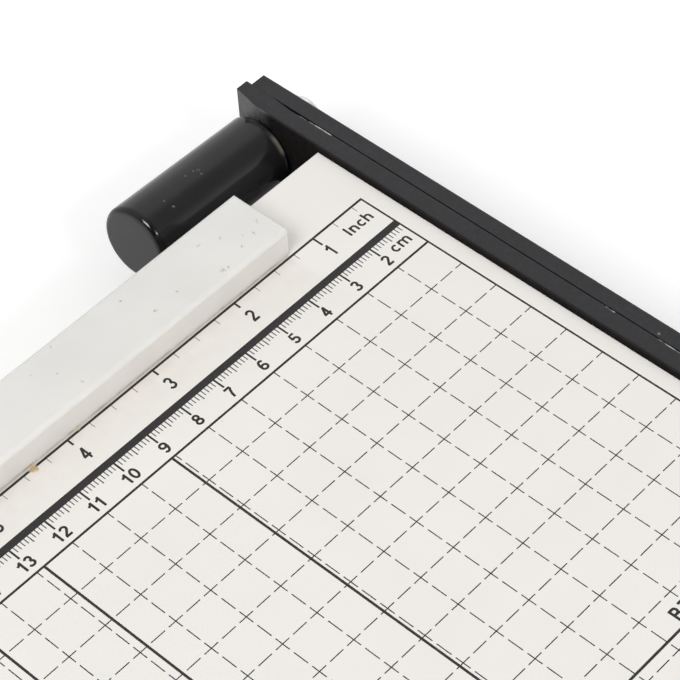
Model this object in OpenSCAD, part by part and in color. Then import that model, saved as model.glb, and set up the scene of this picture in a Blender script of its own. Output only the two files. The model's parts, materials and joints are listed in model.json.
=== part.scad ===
// Guillotine paper trimmer: a board with a fence along its far edge, a fixed bed knife
// on its right side, and a cutter arm that turns on a sprung pivot behind the board.
// +X is to the right, +Y away from the user and +Z up.
// The origin is on the table, under the middle of the whole trimmer.
// Inside the modules x = 0 is the plane of the cut, y = 0 the board's far edge
// and z = 0 the board's top, and place() moves that to the origin.

/* [Board] */
// Width of the board, left to right
board_w = 250; // [200:1:400]
// Length of the board, along the cut
board_l = 320; // [240:1:460]
// Thickness of the board
board_t = 18; // [15:0.5:30]
// Chamfer round the board's top
board_chamfer = 0.3; // [0.2:0.1:2]

/* [Fence] */
// Width of the fence, front to back
fence_w = 17.1; // [12:0.1:30]
// Height of the fence above the board
fence_h = 7.8; // [6:0.2:20]
// Radius of the fence's edges
fence_round = 1.2; // [0.4:0.1:2.5]
// Bare board between the fence's end and the bed knife
fence_gap = 27.1; // [10:0.1:60]

/* [Feet] */
// Height of the rubber feet
foot_h = 14; // [11:0.5:30]
// Radius of a foot where it meets the board
foot_r = 12; // [10:0.5:18]
// How much narrower a foot is at the table
foot_taper = 1.5; // [0:0.1:3]
// Distance from the board's edges to a foot's centre
foot_inset = 26; // [20:1:60]
// Radius of the pocket for a foot's screw
foot_pocket_r = 5.2; // [4.8:0.1:6]
// Rubber left above the pocket
foot_web = 6; // [3:0.5:8]

/* [Bed knife] */
// Thickness of the bed knife
bed_t = 4.7; // [4:0.1:8]
// Height of the bed knife
bed_h = 22; // [20.5:0.5:30]
// Height of the bed knife's edge above the board
bed_rise = 1.8; // [0.5:0.1:3]
// How far it runs past the board's near edge
bed_front_ext = 18; // [16:1:40]
// Metal past the pivot's axis at the far end
bed_end_wall = 8.8; // [8.3:0.1:16]
// Thickness at the thinned far end
bed_end_t = 3.1; // [2.5:0.1:3.8]
// Length over which the far end thins
bed_taper_l = 9; // [7:0.1:24]
// Radius of the far lower corner
bed_corner_r = 6; // [2:0.5:8]
// Radius along the upper inner edge
bed_edge = 0.8; // [0.2:0.1:1.2]
// Length of the relief in front of the pivot
relief_l = 15; // [12:0.5:16]
// Depth of the relief
relief_t = 0.35; // [0.2:0.05:0.6]

/* [Pivot] */
// Distance of the pivot behind the board's far edge
pivot_y = 18.7; // [14:0.1:40]
// Depth of the pivot below the board's top
pivot_drop = 10.6; // [8.5:0.1:11]
// Radius of the pivot bolt
bolt_r = 3; // [2:0.1:3.5]
// Width across the flats of the bolt's head and nut
hex_w = 10; // [8:0.1:11]
// Height of the bolt's head
head_h = 4; // [3:0.1:8]
// Thickness of the washers on the bolt
washer_t = 1.2; // [0.8:0.1:2.5]
// Radius of the washers on the bolt
washer_r = 6.4; // [6.2:0.1:7]
// Height of the lock nut
nut_h = 5.8; // [4.5:0.1:10]
// Bolt showing past the nut
bolt_tail_l = 0.6; // [0.5:0.1:5]
// Radius of the bearing bush in the bed knife
bush_r = 5; // [4:0.1:5.5]
// Depth of the flat sunk for the bush's shoulder
spot_depth = 0.2; // [0.1:0.1:0.8]
// Length of the bush's hub past the bed knife
hub_l = 4; // [2:0.5:10]

/* [Spring and housing] */
// Length of the spring as fitted
spring_l = 30; // [20:0.5:50]
// Radius of the spring at the middle of its wire
spring_r = 5.2; // [4.8:0.1:6]
// Radius of the spring's wire
wire_r = 0.8; // [0.5:0.1:1]
// Turns of the spring
spring_turns = 8; // [5:1:10]
// Outer radius of the spring housing
housing_r = 9.6; // [9.4:0.1:11]
// Wall of the spring housing
housing_wall = 2.1; // [1.6:0.1:2.2]
// Thickness of the housing's closed end
housing_end_t = 2; // [1.5:0.1:5]
// Radius of the housing's edges
housing_round = 1.9; // [0.5:0.1:2]
// Gap between the housing and the bed knife
housing_gap = 0.5; // [0.3:0.1:1.5]
// Room past the bolt's head
head_room = 1.6; // [1:0.1:6]

/* [Cutter arm] */
// Thickness of the cutter arm
arm_t = 4.3; // [3:0.1:6]
// Height of the cutter arm's blade
arm_h = 24; // [21:0.5:26]
// Gap between the arm and the bed knife
blade_gap = 0.3; // [0.15:0.05:0.5]
// Metal past the pivot's axis at the arm's far end
arm_end_wall = 7.1; // [6.9:0.1:14]
// Radius of the arm's far lower corner
arm_corner_r = 6; // [2:0.5:7]
// How far the blade runs past the board's near edge
blade_over = 2; // [1:0.5:4]
// Slope length of the blade's heel
heel_l = 3; // [1:0.5:4]
// Height of the ground bevel
bevel_h = 9; // [4:0.5:10]
// Width of the cutting edge below the bevel
edge_t = 1.2; // [0.4:0.1:2]
// Distance from the pivot to the start of the bevel
bevel_start = 30; // [15:1:60]
// Chamfer along the arm's upper outer edge
arm_edge = 0.4; // [0.2:0.1:0.8]

/* [Handle] */
// Height of the tang that carries the handle
tang_h = 12; // [11.5:0.5:13]
// Rise of the handle, in degrees
handle_rise = 14; // [8:1:25]
// Length of bare tang in front of the bed knife
grip_start = 22; // [18:1:60]
// Length of the grip up to its round end
grip_l = 112; // [90:1:150]
// Radius of the grip's front end
grip_front_r = 10.5; // [9:0.1:14]
// Radius of the grip's round end
grip_back_r = 12; // [10:0.1:15]
// Extra radius at the middle of the grip
grip_belly = 2; // [0:0.1:4]
// Rounding of the grip's front edge
grip_front_round = 2; // [0.5:0.1:3]
// Length of grip past the tang's end
grip_solid = 8; // [4:1:20]
// Distance of the two grip screws from the grip's ends
grip_screw_inset = 26; // [15:1:35]

/* [Stop and latch] */
// Radius of the stop pin
stop_r = 2.5; // [2:0.1:2.6]
// Wall of the rubber sleeve on the stop pin
sleeve_t = 1; // [0.8:0.1:1.2]
// Gap between the arm and the sleeve when closed
stop_gap = 0.3; // [0.2:0.1:0.6]
// Distance of the stop pin from the bed knife's near end
stop_inset = 7; // [6:0.5:8]
// Thickness of the latch hook
latch_t = 2; // [1.5:0.1:4]
// Width of the latch hook's leg and hub
latch_w = 11; // [10:0.5:13]
// Thickness of the hook's finger
latch_finger = 3.5; // [2.5:0.1:4]
// Gap between the latched finger and the stop pin
latch_gap = 0.4; // [0.3:0.1:0.8]
// Turn from open to latched, in degrees
latch_swing = 45; // [35:1:55]
// Length of the thumb tab from the latch's pivot
latch_tab = 15; // [12:0.5:20]
// Distance of the latch's pivot from the bend
latch_ahead = 6; // [4:0.5:8]
// Radius of the latch screw
latch_screw_r = 2; // [1.5:0.1:2.5]
// Thickness of the friction washer under the latch
latch_washer_t = 0.8; // [0.5:0.1:1.5]

/* [Screws] */
// Radius of the wood screws
screw_r = 1.75; // [1.5:0.05:2]
// Radius of the countersunk heads
screw_head_r = 3.6; // [3.2:0.1:4]
// Length of the bed knife's screws
bed_screw_l = 20; // [14:1:20]
// Number of screws in the bed knife
bed_screws = 5; // [3:1:8]
// Distance from the board's ends to the outer bed knife screws
bed_screw_inset = 22; // [15:1:60]
// Number of screws in the fence
fence_screws = 3; // [2:1:5]
// Distance from the fence's ends to its outer screws
fence_screw_inset = 24; // [10:1:50]
// Depth of fence left above its screws
fence_cover = 3; // [2:0.1:4]
// Depth of a foot's screw in the board
foot_screw_depth = 12; // [8:0.5:13]

/* [Hidden] */
$fn = 64;
fit_gap = 0.05;
bolt_gap = 0.05;
sink = 0.3;
eps = 0.5;

// Heights and far edges
top_h = foot_h + board_t;
board_x = -bed_t;
board_left = board_x - board_w;
board_front = -board_l;
bed_front = board_front - bed_front_ext;
bed_end = pivot_y + bed_end_wall;
bed_bottom = bed_rise - bed_h;
land_t = blade_gap - fit_gap;
arm_in = blade_gap;
arm_out = arm_in + arm_t;
arm_mid = arm_in + arm_t / 2;
arm_end = pivot_y + arm_end_wall;
arm_bottom = bed_rise - arm_h;
blade_front = board_front - blade_over;

// Stations along the pivot's axis: the nut is outside the arm, the head inside the housing
bush_seat = -(bed_end_t - spot_depth);
hub_end = -(bed_t + hub_l);
spring_end = hub_end - spring_l;
head_start = spring_end - washer_t;
head_end = head_start - head_h;
nut_start = arm_out + washer_t;
bolt_tip = nut_start + nut_h + bolt_tail_l;
housing_right = -(bed_t + housing_gap);
housing_left = head_end - head_room - housing_end_t;
housing_bore_r = housing_r - housing_wall;
hub_r = housing_bore_r - fit_gap;
collar_inset = 0.7;

// The handle's line starts at the bend and rises towards the user
tang_bottom = bed_rise - tang_h;
bend = [bed_front, bed_rise - tang_h / 2];
along = [-cos(handle_rise), sin(handle_rise)];
across = [sin(handle_rise), cos(handle_rise)];
mitre = [tan(handle_rise / 2), 1] * tang_h / 2;
grip_end = grip_start + grip_l;
tang_end = grip_end - grip_solid;
grip_steps = 24;
function grip_r(t) = grip_front_r + (grip_back_r - grip_front_r) * t + grip_belly * sin(180 * t);
grip_max_r = max([for (i = [0:grip_steps]) grip_r(i / grip_steps)]);
grip_screw_at = [grip_start + grip_screw_inset, grip_end - grip_screw_inset];
grip_screw_r = 2;
grip_screw_head_r = 3.8;
grip_screw_head_h = 2.4;
grip_screw_sunk = 3.2;
grip_screw_bite = 6;

// The stop pin and the latch, in the plane of the arm
stop = [bed_front + stop_inset, tang_bottom - stop_gap - sleeve_t - stop_r];
latch_pivot = bend + along * latch_ahead;
latch_to_stop = stop - latch_pivot;
latch_reach = norm(latch_to_stop);
latch_angle = atan2(latch_to_stop[1], latch_to_stop[0]);
finger_in = latch_reach + stop_r + latch_gap;
finger_mid = finger_in + latch_finger / 2;
finger_lean = -6;
finger_tip = 14;
finger_root = -26;
tab_lean = 158;
tip_bulge = 0.4;
latch_in = arm_out + latch_washer_t;
latch_out = latch_in + latch_t;
latch_screw_head_r = 4;
latch_screw_head_h = 2.2;
latch_play = 0.1;
stop_tail = 0.6;
stop_end = latch_out + stop_tail;

// The whole trimmer's box, whose middle is the origin
right_most = max(arm_mid + grip_max_r, bolt_tip);
near_most = bend[0] + along[0] * grip_end - grip_back_r;
x_mid = (right_most + board_left) / 2;
y_mid = (bed_end + near_most) / 2;

// Rows of fasteners
function spread(a, b, n) = [for (i = [0:n - 1]) a + (b - a) * i / (n - 1)];
fence_right = board_x - fence_gap;
bed_screw_ys = spread(-bed_screw_inset, board_front + bed_screw_inset, bed_screws);
fence_screw_xs = spread(fence_right - fence_screw_inset, board_left + fence_screw_inset, fence_screws);
fence_screw_l = board_t + fence_h - fence_cover;
foot_x = [board_left + foot_inset, board_x - foot_inset];
foot_y = [board_front + foot_inset, -foot_inset];
foot_spots = [for (x = foot_x) for (y = foot_y) [x, y]];
foot_washer_t = 1;
foot_washer_r = foot_pocket_r - fit_gap * 4;
foot_head_h = 2.4;

echo(x_mid = x_mid, y_mid = y_mid, top_h = top_h);
echo(pivot = [-x_mid, pivot_y - y_mid, top_h - pivot_drop]);
echo(latch = [latch_in - x_mid, latch_pivot[0] - y_mid, latch_pivot[1] + top_h]);

// Moves the working datum to the origin
module place() { translate([-x_mid, -y_mid, top_h]) children(); }

// Turns a solid that stands on z so that it points along +x from the given place
module along_x(x, y, z) { translate([x, y, z]) rotate([0, 90, 0]) children(); }

// Carries a drawing in the y and z plane through a thickness in x
module side_plate(x0, x1) {
  translate([x0, 0, 0]) rotate([90, 0, 90]) linear_extrude(x1 - x0) children();
}

// A rectangle from the origin with round corners
module round_rect(w, h, r) {
  translate([r, 0]) square([w - 2 * r, h]);
  translate([0, r]) square([w, h - 2 * r]);
  for (x = [r, w - r]) for (y = [r, h - r]) translate([x, y]) circle(r);
}

// A ring with its lower face on z = 0
module ring(r_out, r_in, h) {
  difference() {
    cylinder(r = r_out, h = h);
    translate([0, 0, -eps]) cylinder(r = r_in, h = h + 2 * eps);
  }
}

// A countersunk wood screw that points down from z = 0, or its hole when grown by a gap
module wood_screw(length, grow = 0) {
  rotate_extrude() polygon([
    [0, grow], [screw_head_r + grow, grow], [screw_head_r + grow, -sink],
    [screw_r + grow, -sink - (screw_head_r - screw_r)],
    [screw_r + grow, -length + screw_r - grow], [0, -length - grow]
  ]);
}

// A cross recess in the top of a screw's head at z = 0
module cross_recess(size) {
  for (a = [0, 90]) rotate(a) translate([-size / 2, -size / 8, -1]) cube([size, size / 4, 1 + eps]);
}

module baseboard() {
  color("whitesmoke") place() difference() {
    intersection() {
      translate([0, board_front, 0]) rotate([90, 0, 180]) mirror([1, 0, 0])
        linear_extrude(board_l) chamfered_section(board_left, board_x);
      side_plate(board_left, board_x) chamfered_section(board_front, 0);
    }
    for (y = bed_screw_ys) along_x(0, y, -board_t / 2) wood_screw(bed_screw_l, fit_gap);
    for (x = fence_screw_xs) fence_screw_at(x) wood_screw(fence_screw_l, fit_gap);
    for (p = foot_spots) translate([p[0], p[1], -board_t - eps])
      cylinder(r = screw_r + fit_gap, h = foot_screw_depth + eps + fit_gap);
  }
}

// The board's section between two edges, with its upper corners cut off
module chamfered_section(a, b) {
  polygon([
    [a, -board_t], [b, -board_t], [b, -board_chamfer],
    [b - board_chamfer, 0], [a + board_chamfer, 0], [a, -board_chamfer]
  ]);
}

// Puts a screw under the board, pointing up into the fence
module fence_screw_at(x) { translate([x, -fence_w / 2, -board_t]) rotate([180, 0, 0]) children(); }

module fence_bar() {
  length = fence_right - board_left;
  color("gainsboro") place() difference() {
    translate([board_left, -fence_w, 0]) intersection() {
      linear_extrude(fence_h) round_rect(length, fence_w, fence_round);
      translate([0, 0, -fence_round]) side_plate(0, length)
        round_rect(fence_w, fence_h + fence_round, fence_round);
      translate([0, fence_w, -fence_round]) rotate([90, 0, 0])
        linear_extrude(fence_w) round_rect(length, fence_h + fence_round, fence_round);
    }
    for (x = fence_screw_xs) fence_screw_at(x) wood_screw(fence_screw_l, fit_gap);
  }
}

module fence_screws() {
  color("silver") place() for (x = fence_screw_xs) fence_screw_at(x) difference() {
    wood_screw(fence_screw_l);
    cross_recess(screw_head_r);
  }
}

// Seen from above it has a land for the arm round the pivot, then a shallow relief
module bed_knife() {
  color("dimgray") place() difference() {
    intersection() {
      translate([0, 0, bed_bottom]) linear_extrude(bed_h) polygon([
        [0, bed_front], [0, pivot_y - relief_l], [-relief_t, pivot_y - relief_l * 0.4],
        [land_t, pivot_y + eps], [land_t, bed_end], [-bed_end_t, bed_end],
        [-bed_t, bed_end - bed_taper_l], [-bed_t, bed_front]
      ]);
      side_plate(-bed_t, land_t) bed_side();
    }
    along_edge(bed_front, bed_end) difference() {
      translate([-bed_t - eps, bed_rise - bed_edge]) square(bed_edge + eps);
      translate([-bed_t + bed_edge, bed_rise - bed_edge]) circle(bed_edge);
    }
    for (y = bed_screw_ys) along_x(0, y, -board_t / 2) wood_screw(bed_screw_l, fit_gap);
    along_x(-bed_t - eps, pivot_y, -pivot_drop) cylinder(r = bush_r + fit_gap, h = bed_t + 2 * eps);
    along_x(-bed_t - eps, pivot_y, -pivot_drop) cylinder(r = hub_r + fit_gap, h = bed_t + eps + bush_seat);
    along_x(-bed_t - eps, stop[0], stop[1]) cylinder(r = stop_r + fit_gap, h = bed_t + 2 * eps);
  }
}

// The bed knife seen from the side, with a round far lower corner
module bed_side() {
  translate([bed_front, bed_bottom]) square([bed_end - bed_front - bed_corner_r, bed_h]);
  translate([bed_end - 2 * bed_corner_r, bed_bottom + bed_corner_r])
    square([2 * bed_corner_r, bed_h - bed_corner_r]);
  translate([bed_end - bed_corner_r, bed_bottom + bed_corner_r]) circle(bed_corner_r);
}

// Carries a drawing in the x and z plane along y, to cut an edge
module along_edge(y0, y1) {
  translate([0, y1 + eps, 0]) rotate([90, 0, 0]) linear_extrude(y1 - y0 + 2 * eps) children();
}

module bed_knife_screws() {
  color("silver") place() for (y = bed_screw_ys) along_x(-fit_gap, y, -board_t / 2) difference() {
    wood_screw(bed_screw_l - 2 * fit_gap);
    cross_recess(screw_head_r);
  }
}

module foot(spot) {
  color("black") place() translate([spot[0], spot[1], -top_h]) difference() {
    cylinder(r1 = foot_r - foot_taper, r2 = foot_r, h = foot_h);
    translate([0, 0, -eps]) cylinder(r = foot_pocket_r, h = foot_h - foot_web + eps);
    cylinder(r = screw_r + fit_gap, h = foot_h + eps);
  }
}

module foot_washers() {
  color("silver") place() for (p = foot_spots)
    translate([p[0], p[1], -board_t - foot_web - foot_washer_t])
      ring(foot_washer_r, screw_r + fit_gap, foot_washer_t);
}

module foot_screws() {
  length = foot_web + foot_washer_t + foot_screw_depth - fit_gap;
  color("silver") place() for (p = foot_spots)
    translate([p[0], p[1], -board_t - foot_web - foot_washer_t]) {
      cylinder(r = screw_r, h = length);
      translate([0, 0, -foot_head_h]) difference() {
        cylinder(r1 = screw_head_r - foot_head_h / 2, r2 = screw_head_r, h = foot_head_h);
        rotate([180, 0, 0]) cross_recess(screw_head_r);
      }
    }
}

module pivot_bush() {
  barrel = -bush_seat - fit_gap;
  color("goldenrod") place() translate([0, pivot_y, -pivot_drop]) rotate([0, 90, 0]) difference() {
    union() {
      translate([0, 0, hub_end]) cylinder(r = hub_r, h = bush_seat - hub_end);
      translate([0, 0, bush_seat]) cylinder(r = bush_r, h = barrel);
    }
    translate([0, 0, hub_end - eps]) cylinder(r = bolt_r + bolt_gap, h = -hub_end + 2 * eps);
  }
}

module spring_housing() {
  length = housing_right - housing_left;
  color("black") place() along_x(housing_left, pivot_y, -pivot_drop) difference() {
    rotate_extrude() {
      square([housing_r - housing_round, length]);
      translate([0, housing_round]) square([housing_r, length - 2 * housing_round]);
      for (z = [housing_round, length - housing_round])
        translate([housing_r - housing_round, z]) circle(housing_round);
    }
    translate([0, 0, housing_end_t]) cylinder(r = housing_bore_r, h = length);
  }
}

module stop_pin() {
  color("silver") place() along_x(-bed_t, stop[0], stop[1]) cylinder(r = stop_r, h = bed_t + stop_end);
}

module stop_sleeve() {
  color("black") place() along_x(arm_in, stop[0], stop[1]) ring(stop_r + sleeve_t, stop_r + fit_gap, arm_t);
}

// The arm seen from the side: blade, heel, tang and the bend up to the handle
module arm_side() {
  tip = bend + along * tang_end;
  difference() {
    polygon([
      [arm_end, bed_rise], bend + mitre, tip + across * tang_h / 2, tip - across * tang_h / 2,
      bend - mitre, [blade_front - heel_l, tang_bottom], [blade_front, arm_bottom], [arm_end, arm_bottom]
    ]);
    translate([arm_end - arm_corner_r, arm_bottom]) difference() {
      translate([0, -eps]) square([arm_corner_r + eps, arm_corner_r + eps]);
      translate([0, arm_corner_r]) circle(arm_corner_r);
    }
  }
}

module cutter_arm() {
  color("dimgray") place() difference() {
    side_plate(arm_in, arm_out) arm_side();
    along_edge(blade_front, pivot_y - bevel_start) polygon([
      [arm_in + edge_t, arm_bottom], [arm_out, arm_bottom + bevel_h],
      [arm_out + eps, arm_bottom + bevel_h], [arm_out + eps, arm_bottom - eps],
      [arm_in + edge_t, arm_bottom - eps]
    ]);
    along_edge(bend[0] + mitre[0], arm_end) polygon([
      [arm_out - arm_edge - eps, bed_rise + eps], [arm_out + eps, bed_rise - arm_edge - eps],
      [arm_out + eps, bed_rise + eps]
    ]);
    along_x(0, pivot_y, -pivot_drop) cylinder(r = bolt_r + fit_gap, h = arm_out + eps);
    along_x(0, latch_pivot[0], latch_pivot[1]) cylinder(r = latch_screw_r + fit_gap, h = arm_out + eps);
    for (s = grip_screw_at) on_tang(s) cylinder(r = grip_screw_r + fit_gap, h = arm_out + eps);
  }
}

// Puts a solid that points along +x on the handle's line, from the plane of the cut
module on_tang(s, x = 0) {
  spot = bend + along * s;
  along_x(x, spot[0], spot[1]) children();
}

module pivot_bolt() {
  color("silver") place() translate([0, pivot_y, -pivot_drop]) rotate([0, 90, 0]) {
    translate([0, 0, head_end]) cylinder(r = bolt_r, h = bolt_tip - head_end);
    translate([0, 0, head_end]) rotate(30) cylinder(d = hex_w / cos(30), h = head_h, $fn = 6);
  }
}

module head_washer() {
  color("silver") place() along_x(head_start, pivot_y, -pivot_drop) ring(washer_r, bolt_r + fit_gap, washer_t);
}

module nut_washer() {
  color("silver") place() along_x(arm_out, pivot_y, -pivot_drop) ring(washer_r, bolt_r + fit_gap, washer_t);
}

// A lock nut with its round collar outwards
module lock_nut() {
  collar_h = nut_h / 4;
  color("silver") place() along_x(nut_start, pivot_y, -pivot_drop) difference() {
    union() {
      rotate(30) cylinder(d = hex_w / cos(30), h = nut_h - collar_h, $fn = 6);
      cylinder(r = hex_w / 2 - collar_inset, h = nut_h);
    }
    translate([0, 0, -eps]) cylinder(r = bolt_r + fit_gap, h = nut_h + 2 * eps);
  }
}

// A coil spring as one tube swept along its helix
module pivot_spring() {
  sides = 6;
  per_turn = 8;
  rings = spring_turns * per_turn;
  rise = spring_l - 2 * wire_r - 2 * fit_gap;
  points = [for (i = [0:rings]) for (k = [0:sides - 1])
    let (a = 360 * i / per_turn, b = 360 * k / sides, r = spring_r + wire_r * cos(b))
    [r * cos(a), r * sin(a), rise * i / rings + wire_r * sin(b)]];
  sleeve = [for (i = [0:rings - 1]) for (k = [0:sides - 1]) for (half = [0, 1])
    let (n = (k + 1) % sides, p = i * sides, q = p + sides)
    half == 0 ? [p + k, q + k, q + n] : [p + k, q + n, p + n]];
  caps = [for (k = [1:sides - 2]) for (end = [0, 1])
    let (last = rings * sides)
    end == 0 ? [0, k, k + 1] : [last, last + k + 1, last + k]];
  color("gray") place() along_x(spring_end + wire_r + fit_gap, pivot_y, -pivot_drop)
    polyhedron(points, concat(sleeve, caps));
}

// The grip as a turned shape along the handle's line, with a round far end
module grip_form() {
  spot = bend + along * grip_start;
  front = [for (a = [0:15:90]) [
    grip_front_r - grip_front_round * (1 - sin(a)), grip_front_round * (1 - cos(a))]];
  belly_from = ceil(grip_front_round / grip_l * grip_steps) + 1;
  belly = [for (i = [belly_from:grip_steps]) [grip_r(i / grip_steps), grip_l * i / grip_steps]];
  back = [for (a = [10:10:90]) [grip_back_r * cos(a), grip_l + grip_back_r * sin(a)]];
  translate([arm_mid, spot[0], spot[1]]) rotate([90 - handle_rise, 0, 0])
    rotate_extrude() polygon(concat([[0, 0]], front, belly, back));
}

// Room for the tang and for the two screws inside the grip
module grip_hollow() {
  tip = bend + along * (tang_end + fit_gap);
  half = across * (tang_h / 2 + fit_gap);
  root = bend + along * (grip_start - eps);
  side_plate(arm_in - fit_gap, arm_out + fit_gap) polygon([root + half, tip + half, tip - half, root - half]);
  for (s = grip_screw_at) {
    on_tang(s, arm_in - grip_screw_bite) cylinder(r = grip_screw_r + fit_gap, h = 2 * grip_max_r);
    on_tang(s, grip_screw_seat(s)) cylinder(r = grip_screw_head_r + fit_gap, h = grip_max_r);
  }
}

// Where the head of a grip screw seats, sunk below the outer half's surface
function grip_screw_seat(s) = arm_mid + grip_r((s - grip_start) / grip_l) - grip_screw_sunk - grip_screw_head_h;

module grip_inner() {
  color("black") place() difference() {
    intersection() {
      grip_form();
      translate([arm_mid - 2 * grip_max_r, near_most - eps, tang_bottom - grip_l])
        cube([2 * grip_max_r, grip_l * 2, grip_l * 3]);
    }
    grip_hollow();
  }
}

module grip_outer() {
  color("black") place() difference() {
    intersection() {
      grip_form();
      translate([arm_mid, near_most - eps, tang_bottom - grip_l])
        cube([2 * grip_max_r, grip_l * 2, grip_l * 3]);
    }
    grip_hollow();
  }
}

module grip_screws() {
  color("silver") place() for (s = grip_screw_at) {
    on_tang(s, arm_in - grip_screw_bite + fit_gap)
      cylinder(r = grip_screw_r, h = grip_screw_seat(s) - arm_in + grip_screw_bite);
    on_tang(s, grip_screw_seat(s)) difference() {
      cylinder(r = grip_screw_head_r, h = grip_screw_head_h);
      translate([0, 0, grip_screw_head_h]) cross_recess(grip_screw_head_r);
    }
  }
}

// The latch hook in its own plane, latched, with its pivot at the origin:
// a hub, a leg down to a straight finger under the stop pin, and a thumb tab
module latch_form() {
  tip = finger_mid * tan(finger_tip - finger_lean);
  root = finger_mid * tan(finger_root - finger_lean);
  rotate(latch_angle + finger_lean) {
    translate([finger_in, root]) square([latch_finger, tip - root]);
    translate([finger_mid + tip_bulge, tip]) circle(latch_finger / 2 + tip_bulge / 2);
    translate([finger_mid, root]) circle(latch_w / 4 + tip_bulge);
  }
  rotate(latch_angle + finger_root) translate([0, -latch_w / 4])
    square([norm([finger_mid, root]), latch_w / 2]);
  circle(latch_w / 2);
  rotate(latch_angle + tab_lean) {
    translate([0, -latch_w / 4]) square([latch_tab - latch_w / 4, latch_w / 2]);
    translate([latch_tab - latch_w / 4, 0]) circle(latch_w / 4 + tip_bulge);
  }
}

module latch_hook() {
  color("dimgray") place() difference() {
    translate([0, latch_pivot[0], latch_pivot[1]]) rotate([-latch_swing, 0, 0])
      side_plate(latch_in + fit_gap, latch_out) latch_form();
    along_x(latch_in - eps, latch_pivot[0], latch_pivot[1])
      cylinder(r = latch_screw_r + bolt_gap, h = latch_t + 2 * eps);
  }
}

module latch_washer() {
  color("silver") place() along_x(arm_out, latch_pivot[0], latch_pivot[1])
    ring(latch_w / 2 - eps, latch_screw_r + fit_gap, latch_washer_t);
}

module latch_screw() {
  color("silver") place() along_x(0, latch_pivot[0], latch_pivot[1]) {
    translate([0, 0, arm_in]) cylinder(r = latch_screw_r, h = latch_out + latch_play - arm_in);
    translate([0, 0, latch_out + latch_play]) difference() {
      cylinder(r = latch_screw_head_r, h = latch_screw_head_h);
      translate([0, 0, latch_screw_head_h]) cross_recess(latch_screw_head_r);
    }
  }
}

baseboard();
fence_bar();
fence_screws();
bed_knife();
bed_knife_screws();
foot([foot_x[0], foot_y[0]]);  // foot_front_left
foot([foot_x[1], foot_y[0]]);  // foot_front_right
foot([foot_x[0], foot_y[1]]);  // foot_rear_left
foot([foot_x[1], foot_y[1]]);  // foot_rear_right
foot_washers();
foot_screws();
pivot_bush();
spring_housing();
stop_pin();
stop_sleeve();
cutter_arm();
pivot_bolt();
head_washer();
pivot_spring();
nut_washer();
lock_nut();
grip_inner();
grip_outer();
grip_screws();
latch_hook();
latch_washer();
latch_screw();
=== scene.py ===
# %% [markdown]
# A guillotine paper trimmer, dressed for a studio picture.
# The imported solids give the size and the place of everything. This script prints the board,
# softens the moulded and ground pieces, gives each piece its finish, and sets up a plain white
# studio with the camera where the photographer stood.

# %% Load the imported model
import json
import math

import bmesh
import bpy
import numpy as np
from mathutils import Matrix, Vector


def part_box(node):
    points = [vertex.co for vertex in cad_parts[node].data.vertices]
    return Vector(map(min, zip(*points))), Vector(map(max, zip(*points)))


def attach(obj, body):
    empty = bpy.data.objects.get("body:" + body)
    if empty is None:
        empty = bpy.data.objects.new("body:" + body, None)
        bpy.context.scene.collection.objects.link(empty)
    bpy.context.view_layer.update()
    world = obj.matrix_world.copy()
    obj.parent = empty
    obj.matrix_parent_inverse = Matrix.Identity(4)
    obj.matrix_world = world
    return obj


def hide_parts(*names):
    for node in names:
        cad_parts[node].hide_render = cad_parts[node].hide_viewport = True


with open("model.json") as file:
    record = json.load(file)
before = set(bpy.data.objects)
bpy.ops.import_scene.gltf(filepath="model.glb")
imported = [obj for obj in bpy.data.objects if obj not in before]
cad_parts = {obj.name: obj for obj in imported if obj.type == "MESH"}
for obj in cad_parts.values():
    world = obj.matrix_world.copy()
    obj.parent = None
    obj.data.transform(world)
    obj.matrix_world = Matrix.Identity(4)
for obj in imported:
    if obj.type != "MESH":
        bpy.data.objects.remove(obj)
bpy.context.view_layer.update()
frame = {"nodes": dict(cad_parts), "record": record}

nodes = frame["nodes"]
record = frame["record"]
bodies = record["behaviour"]["bodies"]
body_of = {node: body for body, members in bodies.items() for node in members}
print("solids to dress:", len(nodes))

# %% [markdown]
# Every printed line and every camera number below was measured from three flat places on the
# trimmer: the plane of the cut, the board's far edge and the board's top. Reading them from the
# solids keeps the dressing in step with the model if a size changes.
# Across the board, u is the distance left of the printed zero and v the distance towards the
# user from the solid line under the centimetre scale, both in millimetres. The print was laid
# down by hand: its zero falls a third of a millimetre to the right of the cut, and it is turned
# by a tenth of a degree.

# %% The board's own ruler
MM = 0.001
blade_gap = 0.3
print_shift = 0.35
print_turn = math.radians(0.1)
scale_line = 38.1
cut_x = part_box("cutter_arm")[0].x - blade_gap * MM
zero_x = cut_x + print_shift * MM
far_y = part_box("baseboard")[1].y
zero_y = far_y - scale_line * MM
top_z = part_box("baseboard")[1].z
print_zero = Vector((zero_x, zero_y, top_z))


def on_board(u, v, height=0.0):
    """Left of zero by u, towards the user by v, turned with the print, height above the board."""
    u, v, height = np.broadcast_arrays(np.asarray(u, float), v, height)
    cos, sin = math.cos(print_turn), math.sin(print_turn)
    x, y = -u * cos + v * sin, -u * sin - v * cos
    return np.stack([zero_x + x * MM, zero_y + y * MM, top_z + height * MM], -1)


print("board top at", round(top_z, 4), "cut plane at", round(cut_x, 4))

# %% [markdown]
# The camera is a long lens, as a product photographer uses, looking down at about 49 degrees
# across the board's far right corner. It could be aimed with a constraint, but a heading, a
# tilt and a roll say directly what was measured, so the three axes are built from them.

# %% Camera
lens_mm = 146.609
heading = math.radians(44.403) - print_turn
tilt = math.radians(49.066)
roll = math.radians(-3.923)
eye = print_zero + Matrix.Rotation(print_turn, 3, "Z") @ Vector((-0.31927, -0.28579, 0.45366))

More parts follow.
